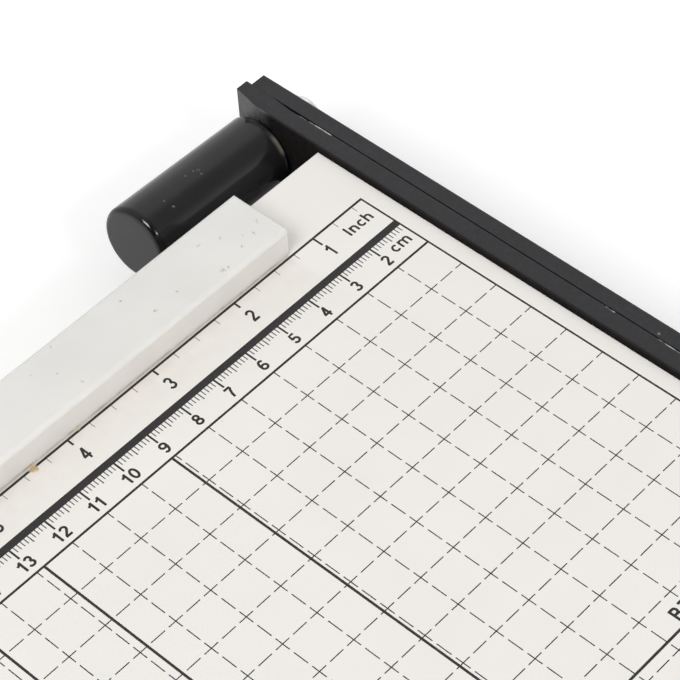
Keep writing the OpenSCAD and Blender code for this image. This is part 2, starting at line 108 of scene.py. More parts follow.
forward = Vector((math.sin(heading) * math.cos(tilt), math.cos(heading) * math.cos(tilt),
                  -math.sin(tilt)))
level = Vector((math.cos(heading), -math.sin(heading), 0.0))
upward = level.cross(forward)
right = level * math.cos(roll) + upward * math.sin(roll)
up = upward * math.cos(roll) - level * math.sin(roll)


def in_scene(name, data):
    """A new object in the scene."""
    made = bpy.data.objects.new(name, data)
    bpy.context.scene.collection.objects.link(made)
    return made


camera_data = bpy.data.cameras.new("photo_camera")
camera_data.lens = lens_mm
camera_data.sensor_width = 36.0
camera_data.clip_start = 0.01
camera = in_scene("photo_camera", camera_data)
camera.matrix_world = Matrix.Translation(eye) @ Matrix((right, up, -forward)).transposed().to_4x4()
bpy.context.scene.camera = camera
print("camera", [round(c, 3) for c in eye])

# %% [markdown]
# The world, the floor and every finish are graphs of nodes. These helpers keep them short: each
# one adds a kind of node and returns the socket to link from, or all of the node's outputs.

# %% Helpers for graphs of nodes
class Graph:
    """The node tree of a world or a material, with short calls that add nodes to it."""

    def __init__(self, holder, bare=True):
        holder.use_nodes = True
        self.tree = holder.node_tree
        if bare:
            self.tree.nodes.clear()

    def add(self, kind, sockets=None, **settings):
        """A node with its settings made, then each socket linked from a socket or given a value."""
        made = self.tree.nodes.new("ShaderNode" + kind)
        for key, value in settings.items():
            setattr(made, key, value)
        for key, value in (sockets or {}).items():
            if isinstance(value, bpy.types.NodeSocket):
                self.tree.links.new(value, made.inputs[key])
            else:
                made.inputs[key].default_value = value
        return made.outputs

    def spread(self, source, low, high, out_low=0.0, out_high=1.0, smooth=False):
        """Carry the stretch from low to high over to the stretch from out_low to out_high."""
        sockets = {"Value": source, "From Min": low, "From Max": high,
                   "To Min": out_low, "To Max": out_high}
        curve = "SMOOTHSTEP" if smooth else "LINEAR"
        return self.add("MapRange", sockets, interpolation_type=curve)["Result"]

    def fade(self, source, low, high, full=1.0):
        """Nothing at low, rising smoothly to the full share at high."""
        return self.spread(source, low, high, 0.0, full, smooth=True)

    def math(self, operation, a, b):
        return self.add("Math", {0: a, 1: b}, operation=operation)["Value"]

    def times(self, a, b):
        return self.math("MULTIPLY", a, b)

    def most(self, first, *others):
        """The largest of several values."""
        for other in others:
            first = self.math("MAXIMUM", first, other)
        return first

    def vector(self, operation, *values, result="Vector"):
        """A vector worked out from sockets and triples, or a number with result set to Value."""
        return self.add("VectorMath", dict(enumerate(values)), operation=operation)[result]


print("graph helpers ready")

# %% [markdown]
# The studio is a white floor that runs on into a white world, lit mostly by an even fill, with
# two soft boxes: one high on the left, which lays the fence's soft shadow on the board, and one
# at the front. Fill and boxes together light a level surface at full strength, so a colour
# renders about as it is written. For mirror rays the world is white too, apart from two darker
# stretches of ceiling that the glossy black shows in the photograph.

# %% World
fill_level = 0.60
front_right, front_left = (0.50, -0.36, 0.79), (-0.52, -0.34, 0.78)

world = bpy.data.worlds.new("white_studio")
bpy.context.scene.world = world
air = Graph(world)


def ceiling(toward, dark, edge, core):
    """White, darker by a share within the core angle of a direction, fading to the edge angle."""
    direction = air.add("TexCoord")["Generated"]
    aim = air.vector("DOT_PRODUCT", direction, Vector(toward).normalized(), result="Value")
    edge, core = math.cos(math.radians(edge)), math.cos(math.radians(core))
    return air.spread(aim, edge, core, 1.0, 1.0 - dark, smooth=True)


mirrored = air.times(ceiling(front_right, dark=0.62, edge=34.0, core=7.0),
                     ceiling(front_left, dark=0.85, edge=44.0, core=24.0))
paths = air.add("LightPath")
straight = air.most(paths["Is Camera Ray"], paths["Is Transmission Ray"])
strength = air.add("Mix", {"Factor": air.most(straight, paths["Is Glossy Ray"]),
                           "A": fill_level, "B": air.most(straight, mirrored)})["Result"]
sky = air.add("Background", {"Color": (1.0, 1.0, 1.0, 1.0), "Strength": strength})["Background"]
air.add("OutputWorld", {"Surface": sky})
bpy.context.scene.view_settings.view_transform = "Standard"
print("world fill", fill_level)

# %% [markdown]
# A soft box does two jobs: it lights matt surfaces, which sets the shadow's length and softness,
# and it shows as a glint on gloss. The photograph's shadow and the two glints on the housing's
# edge ask for different sizes, so each job has a lamp of its own.

# %% Soft boxes
housing_low, housing_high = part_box("spring_housing")
housing_middle = (housing_low + housing_high) / 2


def soft_box(name, toward, size, watts, glints, distance=3.0):
    """A square lamp along a direction from the housing, facing it, for matt or for gloss."""
    toward = Vector(toward).normalized()
    lamp = bpy.data.lights.new(name, "AREA")
    lamp.shape = "SQUARE"
    lamp.size = size
    lamp.energy = watts
    holder = in_scene(name, lamp)
    holder.location = housing_middle + toward * distance
    holder.rotation_euler = toward.to_track_quat("Z", "Y").to_euler()
    holder.visible_diffuse, holder.visible_glossy = not glints, glints


soft_box("light_left", (-0.64, -0.15, 0.755), 1.3, 36.0, glints=False)
soft_box("light_front", (-0.16, -0.76, 0.64), 0.52, 14.5, glints=False)
soft_box("glint_left", (-0.50, -0.13, 0.85), 1.0, 60.0, glints=True)
soft_box("glint_front", (-0.05, -0.81, 0.59), 1.0, 50.0, glints=True)

# %% [markdown]
# The floor is a matt white sheet that keeps the soft shadow. A little glow, for the camera only,
# lifts it to the white of the photograph, and more of it far away, where the lamps hardly reach.
# Seen from below the sheet is clear, so that the underside of the trimmer can be looked at too.

# %% Floor
floor_half = 3.0
floor_white = 0.95
floor_glow = (0.18, 0.45)
glow_reach = (0.6, 2.2)
floor_drop = 0.0001
corner_signs = np.array([[-1, -1], [1, -1], [1, 1], [-1, 1]], float)
floor_points = np.insert(corner_signs * floor_half, 2, -floor_drop, axis=1)
floor_mesh = bpy.data.meshes.new("studio_floor")
floor_mesh.from_pydata(floor_points.tolist(), [], [[0, 1, 2, 3]])
floor_mat = bpy.data.materials.new("studio_white")
sheet = Graph(floor_mat)
matt = sheet.add("BsdfDiffuse", {"Color": (floor_white, floor_white, floor_white, 1.0)})["BSDF"]
seen = sheet.add("LightPath")["Is Camera Ray"]
out_from = sheet.vector("LENGTH", sheet.add("TexCoord")["Object"], result="Value")
lift = sheet.spread(out_from, *glow_reach, *floor_glow)
glow = sheet.add("Emission", {"Strength": sheet.times(seen, lift)})["Emission"]
lit = sheet.add("AddShader", {0: matt, 1: glow})["Shader"]
clear = sheet.add("BsdfTransparent")["BSDF"]
below = sheet.add("NewGeometry")["Backfacing"]
one_way = sheet.add("MixShader", {0: below, 1: lit, 2: clear})["Shader"]
sheet.add("OutputMaterial", {"Surface": one_way})
floor_mesh.materials.append(floor_mat)
floor = in_scene("studio_floor", floor_mesh)
print("floor", floor_half * 2, "m square")

# %% [markdown]
# A finish starts from Object coordinates in metres, so a noise scale of 1000 makes marks about a
# millimetre across and a pattern stays put on its piece. Its helpers add noises, specks and
# places, blend colours by them, and feed the shader.

# %% Helpers for finishes
class Finish(Graph):
    """A material with a Principled shader, built up from a first tone by coats of colour."""

    def __init__(self, name, roughness=0.5, metallic=0.0, specular=0.5):
        self.material = bpy.data.materials.new(name)
        super().__init__(self.material, bare=False)
        self.shader = self.tree.nodes["Principled BSDF"]
        self.shader.inputs["Roughness"].default_value = roughness
        self.shader.inputs["Metallic"].default_value = metallic
        self.shader.inputs["Specular IOR Level"].default_value = specular
        self.place = self.add("TexCoord")["Object"]
        self.tone = None

    def stretched(self, scale):
        return self.add("Mapping", {"Vector": self.place, "Scale": scale})["Vector"]

    def noise(self, scale, detail=3.0, stretch=(1, 1, 1), rough=0.5):
        sockets = {"Scale": scale, "Detail": detail, "Roughness": rough}
        return self.add("TexNoise", {"Vector": self.stretched(stretch), **sockets})["Fac"]

    def specks(self, scale, size, share, stretch=(1, 1, 1)):
        """Small dots: near a cell's centre, in the share of cells whose random value is low."""
        cells = self.add("TexVoronoi", {"Vector": self.stretched(stretch), "Scale": scale})
        red = self.add("SeparateColor", {"Color": cells["Color"]})["Red"]
        dots = self.fade(cells["Distance"], size, size * 0.5)
        return self.times(dots, self.math("LESS_THAN", red, share))

    def shaken(self, scale, reach):
        """Object coordinates pushed about by a coloured noise, by about the reach either way."""
        tint = self.add("TexNoise", {"Vector": self.place, "Scale": scale})["Color"]
        push = self.vector("MULTIPLY_ADD", tint, (4 * reach,) * 3, (-2 * reach,) * 3)
        return self.vector("ADD", self.place, push)

    def axis(self, name):
        return self.add("SeparateXYZ", {"Vector": self.place})[name]

    def near(self, point, radius):
        """One at a point on the piece, fading to nothing at the radius."""
        away = self.vector("DISTANCE", self.place, point, result="Value")
        return self.fade(away, radius, radius * 0.4)

    def along(self, point, direction):
        """Distance past a point, measured along a direction."""
        away = self.vector("SUBTRACT", self.place, point)
        return self.vector("DOT_PRODUCT", away, direction, result="Value")

    def blend(self, factor, a, b):
        """From one colour to another by a factor. A colour is a socket or an sRGB triple."""
        a, b = (linear(*colour) if isinstance(colour, tuple) else colour for colour in (a, b))
        return self.add("Mix", {"Factor": factor, "A": a, "B": b}, data_type="RGBA")["Result"]

    def clouded(self, source, dark, light, start=0.3, end=0.7):
        """Two shades of one colour, mixed by a noise."""
        return self.blend(self.spread(source, start, end), dark, light)

    def coat(self, mask, colour, share=None):
        """Lay a colour over the tone so far, where the mask says, whole or by a share."""
        mask = mask if share is None else self.times(mask, share)
        self.tone = self.blend(mask, self.tone, colour)

    def feed(self, socket, source):
        """Let a graph drive one of the shader's own sockets."""
        self.tree.links.new(source, self.shader.inputs[socket])

    def rough(self, source, low, high, start=0.3, end=0.7):
        """Roughness from low to high, by a noise."""
        self.feed("Roughness", self.spread(source, start, end, low, high))

    def bump(self, height, strength, distance):
        sockets = {"Height": height, "Strength": strength, "Distance": distance}
        self.feed("Normal", self.add("Bump", sockets)["Normal"])

    def done(self):
        """The material, with the tone so far as its colour."""
        self.feed("Base Color", self.tone)
        return self.material


def linear(r, g, b):
    """The linear colour of an sRGB triple from 0 to 255, with full alpha."""
    c = np.array([r, g, b]) / 255.0
    return (*np.where(c <= 0.04045, c / 12.92, ((c + 0.055) / 1.055) ** 2.4).tolist(), 1.0)


print("finish helpers ready")

# %% [markdown]
# The board is pressed wood fibre under an off-white paint, warm and faintly clouded, with the
# odd speck of dust and two drops of old glue. In front of the fence the paint carries painted
# shade: darker along the fence's foot, with a dark line in the corner there and a broad painted
# shadow of the fence further out. Its underside is left raw.
# A plain colour would look like plastic, so the paint carries a slow cloud in its tone and a
# fine grain in its gloss. The ink on it is nearly black, and thinner in places.

# %% Board paint
fence_face, fence_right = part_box("fence_bar")[0].y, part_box("fence_bar")[1].x
foot_strip, wide_strip, corner_strip, strip_end = 4.0 * MM, 20.0 * MM, 0.9 * MM, 2.0 * MM
corner_full, raw_from, raw_full = 0.2 * MM, 17.6 * MM, 17.9 * MM
glue_spots = ((on_board(112.0, -20.1, 0.1), 1.35 * MM, 0.85),
              (on_board(98.2, -20.8, 0.3), 0.7 * MM, 0.5))
paint = Finish("board_paint", roughness=0.42, specular=0.35)


def fence_band(width, full, share):
    """Nothing at a width in front of the fence, growing to a share at the full distance from it."""
    return paint.fade(paint.axis("Y"), fence_face - width, fence_face - full, share)


def glued(finish):
    """Coats for drops of glue with a ragged edge, clouded from brown to straw."""
    even_place = finish.place
    finish.place = finish.shaken(900.0, 0.5 * MM)
    amber = finish.clouded(finish.noise(1500.0), (156, 126, 84), (212, 190, 154))
    for spot, reach, strength in glue_spots:
        finish.coat(finish.near(spot, reach), amber, strength)
    finish.place = even_place


paint.tone = paint.clouded(paint.noise(45.0, detail=4.0), (235, 232, 227), (238, 235, 231))
paint.coat(paint.specks(210.0, 0.045, 0.10), (150, 138, 122), 0.45)
# Painted shade in front of the fence, up to its right end: darker along its foot, and a broad
# painted shadow of the fence further out.
beside_fence = paint.fade(paint.axis("X"), fence_right, fence_right - strip_end)
broad_painted_shadow = fence_band(wide_strip, strip_end, 0.28)
painted_fence_shade = paint.math("ADD", fence_band(foot_strip, 0.0, 0.45), broad_painted_shadow)
fence_shade_tone = paint.clouded(paint.noise(300.0), (206, 200, 188), (220, 215, 205))
paint.coat(painted_fence_shade, fence_shade_tone, beside_fence)
# Painted shade: a dark line in the corner at the fence's foot.
paint.coat(fence_band(corner_strip, corner_full, 0.42), (150, 142, 130), beside_fence)
glued(paint)
fibres = paint.noise(900.0, detail=4.0, stretch=(1, 0.35, 1))
under = paint.fade(paint.axis("Z"), top_z - raw_from, top_z - raw_full)
paint.coat(under, paint.clouded(fibres, (132, 98, 66), (168, 132, 94)))
paint.rough(paint.noise(320.0), 0.38, 0.50)
paint.bump(paint.noise(2600.0, detail=2.0), 0.06, 0.04 * MM)
board_paint = paint.done()
print("board paint ready")

# %% Printing ink
ink = Finish("printing_ink", roughness=0.5, specular=0.3)
thin = ink.noise(1500.0)
ink.tone = ink.clouded(thin, (34, 31, 31), (50, 47, 47), 0.35, 0.75)
glued(ink)
ink.rough(thin, 0.42, 0.58)
printing_ink = ink.done()
print("ink mixed")

# %% [markdown]
# The fence is a cast bar in a cooler, greyer white than the board. The photograph shows small
# open pits in it, most of them near its right end, and the drops of old glue touch its foot.
# Scattered pits come from two fields of specks; the few that stand out are set by their place.
# All of them are dark and also sunk. The front face is painted a little lighter and warmer,
# which stands in for the light on it, with patchy painted shade along its foot.

# %% Fence white
fence_h = 7.8
front_depth, foot_shade_h, skin = 0.5 * MM, 0.9 * MM, 0.1 * MM
pit_places = ((35.1, 28.3, 0.6), (40.1, 27.6, 0.45), (38.2, 26.3, 0.5), (44.0, 30.8, 0.45),
              (42.6, 25.4, 0.4), (50.4, 23.7, 0.8), (49.1, 23.4, 0.5), (61.5, 26.9, 0.45),
              (68.3, 26.6, 0.5), (71.4, 34.3, 0.4), (90.5, 36.4, 0.5), (98.6, 33.9, 0.4),
              (92.7, 24.3, 0.4))
white = Finish("fence_white", roughness=0.46, specular=0.25)
white.tone = white.clouded(white.noise(60.0, detail=4.0), (224, 223, 219), (230, 229, 225))
even_place = white.place
white.place = white.shaken(1300.0, 0.45 * MM)
pits = white.most(
    white.specks(190.0, 0.075, 0.22, stretch=(0.6, 1, 1)),
    white.specks(240.0, 0.070, 0.18, stretch=(1, 0.55, 1)),
    *(white.near(on_board(left, -beyond, fence_h), reach * MM)
      for left, beyond, reach in pit_places))
white.place = even_place
pits = white.times(pits, white.spread(white.noise(2400.0), 0.35, 0.62))
white.coat(pits, (104, 104, 92), 0.55)
front_face = white.fade(white.axis("Y"), fence_face + front_depth, fence_face + skin)
# Painted light: the front face made a little lighter and warmer.
white.coat(front_face, white.clouded(white.noise(140.0), (231, 228, 223), (236, 233, 228)))
low_down = white.fade(white.axis("Z"), top_z + foot_shade_h, top_z + skin)
patchy = white.spread(white.noise(420.0, detail=4.0), 0.35, 0.65, 0.10, 0.65)
# Painted shade, patchy, along the foot of the front face.
white.coat(white.times(low_down, front_face), (128, 120, 108), patchy)
glued(white)
white.rough(white.noise(260.0), 0.42, 0.54)
grain = white.noise(1200.0)
white.bump(white.math("SUBTRACT", grain, white.times(pits, 3.0)), 0.10, 0.12 * MM)
fence_white = white.done()
print("fence finish ready")

# %% [markdown]
# The two bars are steel with a satin black enamel. Enamel wears where steel rubs on steel: the
# bed knife's cutting edge shows bright spots where the paint has come off, one long faint mark
# among them being a painted highlight along the edge, and the faces that pass each other have
# lost their enamel. The same base serves all of them: black, slightly clouded, with dust and a
# faint orange peel. Bare metal is blended in by where a point lies on the bar.

# %% Black enamel and the bare places on it
ragged_h, edge_from, edge_full = 3.0 * MM, 0.40 * MM, 0.22 * MM
# The long faint mark at -61 is a painted highlight along the cutting edge; the others are spots
# where the paint has come off.
chips_and_highlight = ((40.8, 3.3), (44.4, 0.8), (47.0, 1.3), (-44.6, 1.5), (-61.0, 3.6), (-118.0, 4.0),
         (-171.0, 2.0), (-232.0, 5.0))


def enamel_base(name):
    """Black enamel to build on."""
    finish = Finish(name, roughness=0.42, specular=0.42)
    finish.tone = finish.clouded(finish.noise(120.0), (17, 17, 20), (23, 23, 27))
    film = finish.spread(finish.noise(650.0, detail=5.0, rough=0.7), 0.45, 0.75)
    finish.coat(film, (46, 46, 50), 0.5)
    finish.coat(finish.specks(330.0, 0.06, 0.16), (140, 138, 134), 0.4)
    finish.rough(finish.noise(420.0), 0.36, 0.48)
    finish.bump(finish.noise(1500.0), 0.12, 0.06 * MM)
    return finish


def rubbed_enamel(name, covered_z, bare_z):
    """Enamel that goes over to bare steel between two heights, along a ragged line."""
    finish = enamel_base(name)
    ragged = finish.times(finish.noise(300.0, detail=4.0, stretch=(1, 0.25, 1)), ragged_h)
    height = finish.math("ADD", finish.axis("Z"), finish.math("SUBTRACT", ragged, ragged_h / 2))
    bright_marks = finish.fade(height, covered_z, bare_z)
    lines = finish.noise(1600.0, stretch=(1, 0.04, 1))
    finish.coat(bright_marks, finish.clouded(lines, (150, 150, 150), (198, 197, 194)))
    finish.feed("Metallic", bright_marks)
    return finish.done()


def chipped(finish, beyond, reach):
    """One at a distance beyond the printed zero, fading to nothing at the reach to both sides."""
    past = finish.math("SUBTRACT", finish.axis("Y"), zero_y + beyond * MM)
    return finish.fade(finish.math("ABSOLUTE", past, 0.0), reach * MM, reach * 0.6 * MM)


enamel = enamel_base("black_enamel")
enamel.coat(enamel.near(on_board(-0.75, 56.9, 1.8), 0.5 * MM), (150, 142, 116), 0.5)
black_enamel = enamel.done()

bed = enamel_base("bed_enamel")
cutting_edge = bed.fade(bed.axis("X"), cut_x - edge_from, cut_x - edge_full)
# Paint loss and one painted highlight along the cutting edge, in a light grey.
bright_marks = bed.times(bed.most(*(chipped(bed, *edge_mark) for edge_mark in chips_and_highlight)), cutting_edge)
ragged = bed.spread(bed.noise(900.0, detail=4.0, stretch=(1, 0.3, 1)), 0.42, 0.56)
bed.coat(bright_marks, (176, 175, 172), ragged)
bed_enamel = bed.done()

bed_top, arm_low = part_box("bed_knife")[1].z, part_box("cutter_arm")[0].z
bed_rubbed = rubbed_enamel("bed_rubbed_face", bed_top - 6.2 * MM, bed_top - 4.2 * MM)
blade_rubbed = rubbed_enamel("blade_rubbed_face", arm_low + 11.5 * MM, arm_low + 8.5 * MM)
print("enamel ready,", len(chips_and_highlight), "chips on the cutting edge")

# %% [markdown]
# Down the side that faces the board the enamel was sprayed thin and stays dull, more so the
# lower it gets. The shine of a finish is a fixed number here, so the rounded edge steps through
# three finishes, each duller than the one above it. Towards the thinned far end the side is
# painted a lighter grey, which stands in for the light it catches there.

# %% Dull flank and ground steel
bed_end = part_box("bed_knife")[1].y
thinned_l, far_light_fade = 9.0 * MM, 3.5 * MM


def settled_dust(finish):
    """Grey on black, clouded: painted light for the thinned far end."""
    return finish.clouded(finish.noise(500.0, detail=4.0), (68, 68, 70), (86, 86, 89))


def dull_flank(name, roughness, specular):
    """Thin black enamel with a dry surface, painted lighter towards the far end."""
    flank = Finish(name, roughness=roughness, specular=specular)
    flank.tone = flank.clouded(flank.noise(700.0), (22, 21, 21), (31, 29, 28))
    far_light_from = bed_end - thinned_l - far_light_fade
    far = flank.fade(flank.axis("Y"), far_light_from, far_light_from + far_light_fade)
    flank.coat(far, settled_dust(flank))
    flank.bump(flank.noise(2400.0, detail=2.0), 0.15, 0.08 * MM)
    return flank.done()


flank_finishes = [dull_flank("flank_upper", 0.55, 0.30), dull_flank("flank_middle", 0.7, 0.16),
                  dull_flank("flank_lower", 0.8, 0.05)]

# Painted light: the thinned far end's face in the same lighter grey.
far_lit = enamel_base("far_lit_enamel")
far_lit.tone = settled_dust(far_lit)
far_lit_enamel = far_lit.done()

ground = Finish("ground_steel", roughness=0.30, metallic=1.0)
strokes = ground.noise(1800.0, stretch=(1, 1, 0.04))
ground.tone = ground.clouded(strokes, (164, 164, 164), (206, 205, 202))
ground.rough(strokes, 0.22, 0.40)
ground_steel = ground.done()
print("flank and ground steel ready")

# %% [markdown]
# The spring housing is a moulded cup in glossy black that sits loosely over the spring, its
# closed end tipped up by a degree or two, and the face of that end slants a little more. In the
# photograph it is lightly scuffed, with a few pale nicks. Its open rim is grey where it sits
# against the bed knife, partly from wear and partly a painted highlight, with a brighter painted
# glint on it. The end's face is painted a lighter grey than the wall, which stands in for the
# light it reflects, and a painted dark ring round it stands in for a dark reflection. Places on
# it are given as a distance from the rim and an angle from the top to the user.
# The handle's plastic is the same black with a spark-eroded texture, which kills the gloss.

# %% Black plastic
cup_r = (housing_high.z - housing_low.z) / 2
cup_span = housing_high.x - housing_low.x
cup_tip = math.radians(1.8)
lean_up, lean_front = 0.056, 0.042
rim_from, rim_full, glint_reach = 1.9 * MM, 0.7 * MM, 3.4 * MM
face_fade, dark_ring_full, dark_ring_end = 0.4 * MM, 1.1 * MM, 2.2 * MM
nick_places = ((21.5, 5, 0.55), (21.8, 13, 0.4), (22.6, 2, 0.35), (25.0, 1, 0.35),
               (33.4, 27, 0.45), (34.0, 12, 0.35))


def on_cup(along, radius, angle):
    """Rim minus along, radius (sin, cos) of the angle across, then tipped about the cup's middle.

    The shift of lean times radius grows from nothing at the rim, so only the closed end slants.
    """
    slant = along / cup_span * radius * (lean_up * np.cos(angle) + lean_front * np.sin(angle))
    x = housing_high.x - along - housing_middle.x + slant
    z = radius * np.cos(angle)
    y = housing_middle.y - radius * np.sin(angle)
    tipped_x = housing_middle.x + x * math.cos(cup_tip) + z * math.sin(cup_tip)
    tipped_z = housing_middle.z + z * math.cos(cup_tip) - x * math.sin(cup_tip)
    return np.stack([tipped_x, y + 0 * x, tipped_z], -1)


def cup_spot(along, angle):
    """A point on the cup's outside, from millimetres and degrees."""
    return tuple(float(c) for c in on_cup(along * MM, cup_r, math.radians(angle)))


moulded = Finish("black_plastic", roughness=0.2, specular=0.36)
moulded.tone = moulded.clouded(moulded.noise(90.0, detail=2.0), (27, 27, 29), (34, 34, 36))
nicks = moulded.most(
    moulded.times(moulded.specks(300.0, 0.07, 0.05, stretch=(0.5, 1, 1)), 0.5),
    *(moulded.near(cup_spot(along, angle), reach * MM) for along, angle, reach in nick_places))
rough_edge = moulded.spread(moulded.noise(1800.0), 0.40, 0.60)
moulded.coat(nicks, (120, 116, 108), rough_edge)
# Grey round the open rim: partly wear, partly a painted highlight along it.
rim = moulded.fade(moulded.axis("X"), housing_high.x - rim_from, housing_high.x - rim_full)
patchy = moulded.spread(moulded.noise(260.0), 0.38, 0.62, 0.1, 0.6)
moulded.coat(rim, (80, 75, 70), patchy)
# A painted glint: a brighter grey spot on the rim.
painted_glint = moulded.times(moulded.near(cup_spot(0.8, 46), glint_reach), rim)
moulded.coat(painted_glint, (146, 138, 128), 0.5)
face_middle = (housing_low.x, housing_middle.y, housing_middle.z)
past_face = moulded.along(face_middle, (1.0, lean_front, -lean_up - math.sin(cup_tip)))
# A painted dark ring on the end's rounded edge, standing in for a dark reflection.
dark_ring_share = moulded.fade(past_face, dark_ring_end, dark_ring_full)
moulded.coat(moulded.fade(past_face, 0.0, face_fade), (3, 3, 3), dark_ring_share)
# Painted light: the end's face a lighter grey than the wall, for the light it reflects.
moulded.coat(moulded.fade(past_face, face_fade, 0.0), (54, 54, 56))
moulded.rough(moulded.noise(700.0, detail=4.0, stretch=(0.12, 1, 1)), 0.12, 0.22, 0.40, 0.75)
black_plastic = moulded.done()

textured = Finish("grip_plastic", roughness=0.5, specular=0.45)
pores = textured.noise(1700.0)
textured.tone = textured.clouded(textured.noise(80.0), (22, 22, 23), (29, 29, 30))
textured.rough(pores, 0.42, 0.62)
textured.bump(pores, 0.35, 0.12 * MM)
grip_plastic = textured.done()
print("plastics ready")

# %% [markdown]
# The small metal pieces are zinc-plated steel, clouded as plating is. The bush is sintered
# bronze, dark with the oil it holds; the spring is oiled wire; the feet are matt rubber with a
# bloom on it.

# %% Plated and other metals, and rubber
plated = Finish("zinc_plate", roughness=0.36, metallic=1.0)
clouds = plated.noise(420.0, detail=4.0)
plated.tone = plated.clouded(clouds, (224, 226, 228), (240, 240, 238))
plated.rough(clouds, 0.28, 0.46)
zinc = plated.done()

sintered = Finish("oiled_bronze", roughness=0.5, metallic=1.0)
sintered.tone = sintered.clouded(sintered.noise(1500.0), (40, 33, 26), (66, 54, 42))
bronze = sintered.done()

wire = Finish("spring_wire", roughness=0.34, metallic=1.0)
wire.tone = wire.clouded(wire.noise(800.0), (104, 104, 108), (150, 150, 152))
spring_wire = wire.done()

soft = Finish("foot_rubber", roughness=0.8, specular=0.3)
soft.tone = soft.clouded(soft.noise(500.0, detail=4.0), (24, 24, 24), (44, 43, 42))
soft.bump(soft.noise(2200.0, detail=2.0), 0.2, 0.1 * MM)
foot_rubber = soft.done()
print("metals and rubber ready")

# %% [markdown]
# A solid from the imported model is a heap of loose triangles, each shaded flat. Where its shape
# is right it stays and only gets a finish. Where it is curved and in view, a welded copy takes
# its place: joined triangles can share smooth shading, broken only at real edges, and weights
# by area keep the flat faces flat. The copy can also wear a different finish on some faces,
# picked by the way they look.

# %% Finishes on the solids that keep their shape
kept = {"baseboard": board_paint, "pivot_bush": bronze}
for name, solid in nodes.items():
    solid.data.materials.clear()
    solid.data.materials.append(kept.get(name, zinc))
print("first coat on", len(nodes), "solids")


# %% Welded copies with soft shading
def dress(name, mesh, materials, body, stands_for=(), crease=35.0):
    """Link a finished mesh, shade it, hang it on the body it rides on, and hide the solids it
    stands for.
    """
    mesh.shade_smooth()
    mesh.set_sharp_from_angle(angle=math.radians(crease))
    picked = np.zeros(len(mesh.polygons), np.int32)
    mesh.polygons.foreach_get("material_index", picked)
    mesh.materials.clear()
    for material in materials:
        mesh.materials.append(material)
    mesh.polygons.foreach_set("material_index", picked)
    piece = in_scene(name, mesh)
    even = piece.modifiers.new("even_shading", "WEIGHTED_NORMAL")
    even.keep_sharp = True
    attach(piece, body)
    if stands_for:
        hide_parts(*stands_for)
    print("made", name, len(mesh.polygons), "faces")


def weld(mesh, reach, turn_out=False):
    """Join points that lie within a reach, and turn the faces outwards if asked."""
    work = bmesh.new()
    work.from_mesh(mesh)
    bmesh.ops.remove_doubles(work, verts=work.verts, dist=reach)
    if turn_out:
        bmesh.ops.recalc_face_normals(work, faces=work.faces)
    work.to_mesh(mesh)
    work.free()


def welded_copy(node, materials, pick=None, crease=35.0):
    """Copy a solid's mesh, weld its triangles, and choose each face's finish from its normal."""
    mesh = nodes[node].data.copy()
    mesh.name = node + "_dressed"
    weld(mesh, 2e-6)
    normals = np.zeros(len(mesh.polygons) * 3)
    mesh.polygons.foreach_get("normal", normals)
    choice = pick(normals.reshape(-1, 3)) if pick else np.zeros(len(mesh.polygons))
    mesh.polygons.foreach_set("material_index", choice.astype(np.int32))
    dress(node + "_dressed", mesh, materials, body_of[node], (node,), crease)


def bed_faces(n):
    """Towards the board 1 to 3 by steepness, towards the blade 4, the thinned end 5, the rest 0."""
    steps = np.searchsorted([0.35, 0.65, 0.90], -n[:, 0])
    thinned = (n[:, 0] < -0.5) & (n[:, 1] > 0.02)
    sides = np.where(np.abs(n[:, 1]) < 0.02, steps, 0)
    return np.where(n[:, 0] > 0.9, 4, np.where(thinned, 5, sides))


def arm_faces(n):
    """Ground bevel 1, face towards the bed knife 2, the rest 0."""
    bevel = (n[:, 0] > 0.15) & (n[:, 2] < -0.15)
    return np.where(bevel, 1, np.where(n[:, 0] < -0.99, 2, 0))


bed_finishes = [bed_enamel, *flank_finishes, bed_rubbed, far_lit_enamel]
welded_copy("bed_knife", bed_finishes, bed_faces, crease=16)
welded_copy("cutter_arm", [black_enamel, ground_steel, blade_rubbed], arm_faces, crease=20)
for node, finish in {
    "fence_bar": fence_white, "latch_hook": black_enamel,
    "grip_inner": grip_plastic, "grip_outer": grip_plastic, "stop_sleeve": foot_rubber,
    "stop_pin": zinc, "nut_washer": zinc, "latch_washer": zinc, "latch_screw": zinc,
    "grip_screws": zinc, "bed_knife_screws": zinc,
}.items():
    welded_copy(node, [finish])

# %% [markdown]
# Some pieces are better drawn afresh than copied. A piece is then a grid of points, worked out
# as one numpy array: the rows are stations along a path and the columns are points round a
# profile. These helpers join neighbours with quads, close the ends and weld the seams.

# %% Helpers that turn grids of points into pieces
def ring_faces(rows, cols, closed=False):
    """Quads between neighbouring rows of a grid whose columns, and rows if closed, form rings."""
    r, c = np.meshgrid(np.arange(rows if closed else rows - 1), np.arange(cols), indexing="ij")
    here, there = r * cols, ((r + 1) % rows) * cols
    beside = (c + 1) % cols
    return np.stack([here + c, here + beside, there + beside, there + c], -1).reshape(-1, 4)


def ringed(points, closed=False):
    """Vertices and faces of a grid of points, joined by quads."""
    return points.reshape(-1, 3), ring_faces(*points.shape[:2], closed).tolist()


def closed_tube(points):
    """Vertices and faces of a closed body: rings of points, joined by quads, with flat ends."""
    verts, faces = ringed(points)
    cols = points.shape[1]
    faces.append(list(range(cols))[::-1])
    faces.append(list(range(len(verts) - cols, len(verts))))
    return verts, faces


def gather(bodies):
    """One list of vertices and faces from many separate bodies, with the numbers moved on."""
    verts, faces, count = [], [], 0
    for body_verts, body_faces in bodies:
        verts.append(body_verts)
        faces += [[i + count for i in face] for face in body_faces]
        count += len(body_verts)
    return np.concatenate(verts), faces


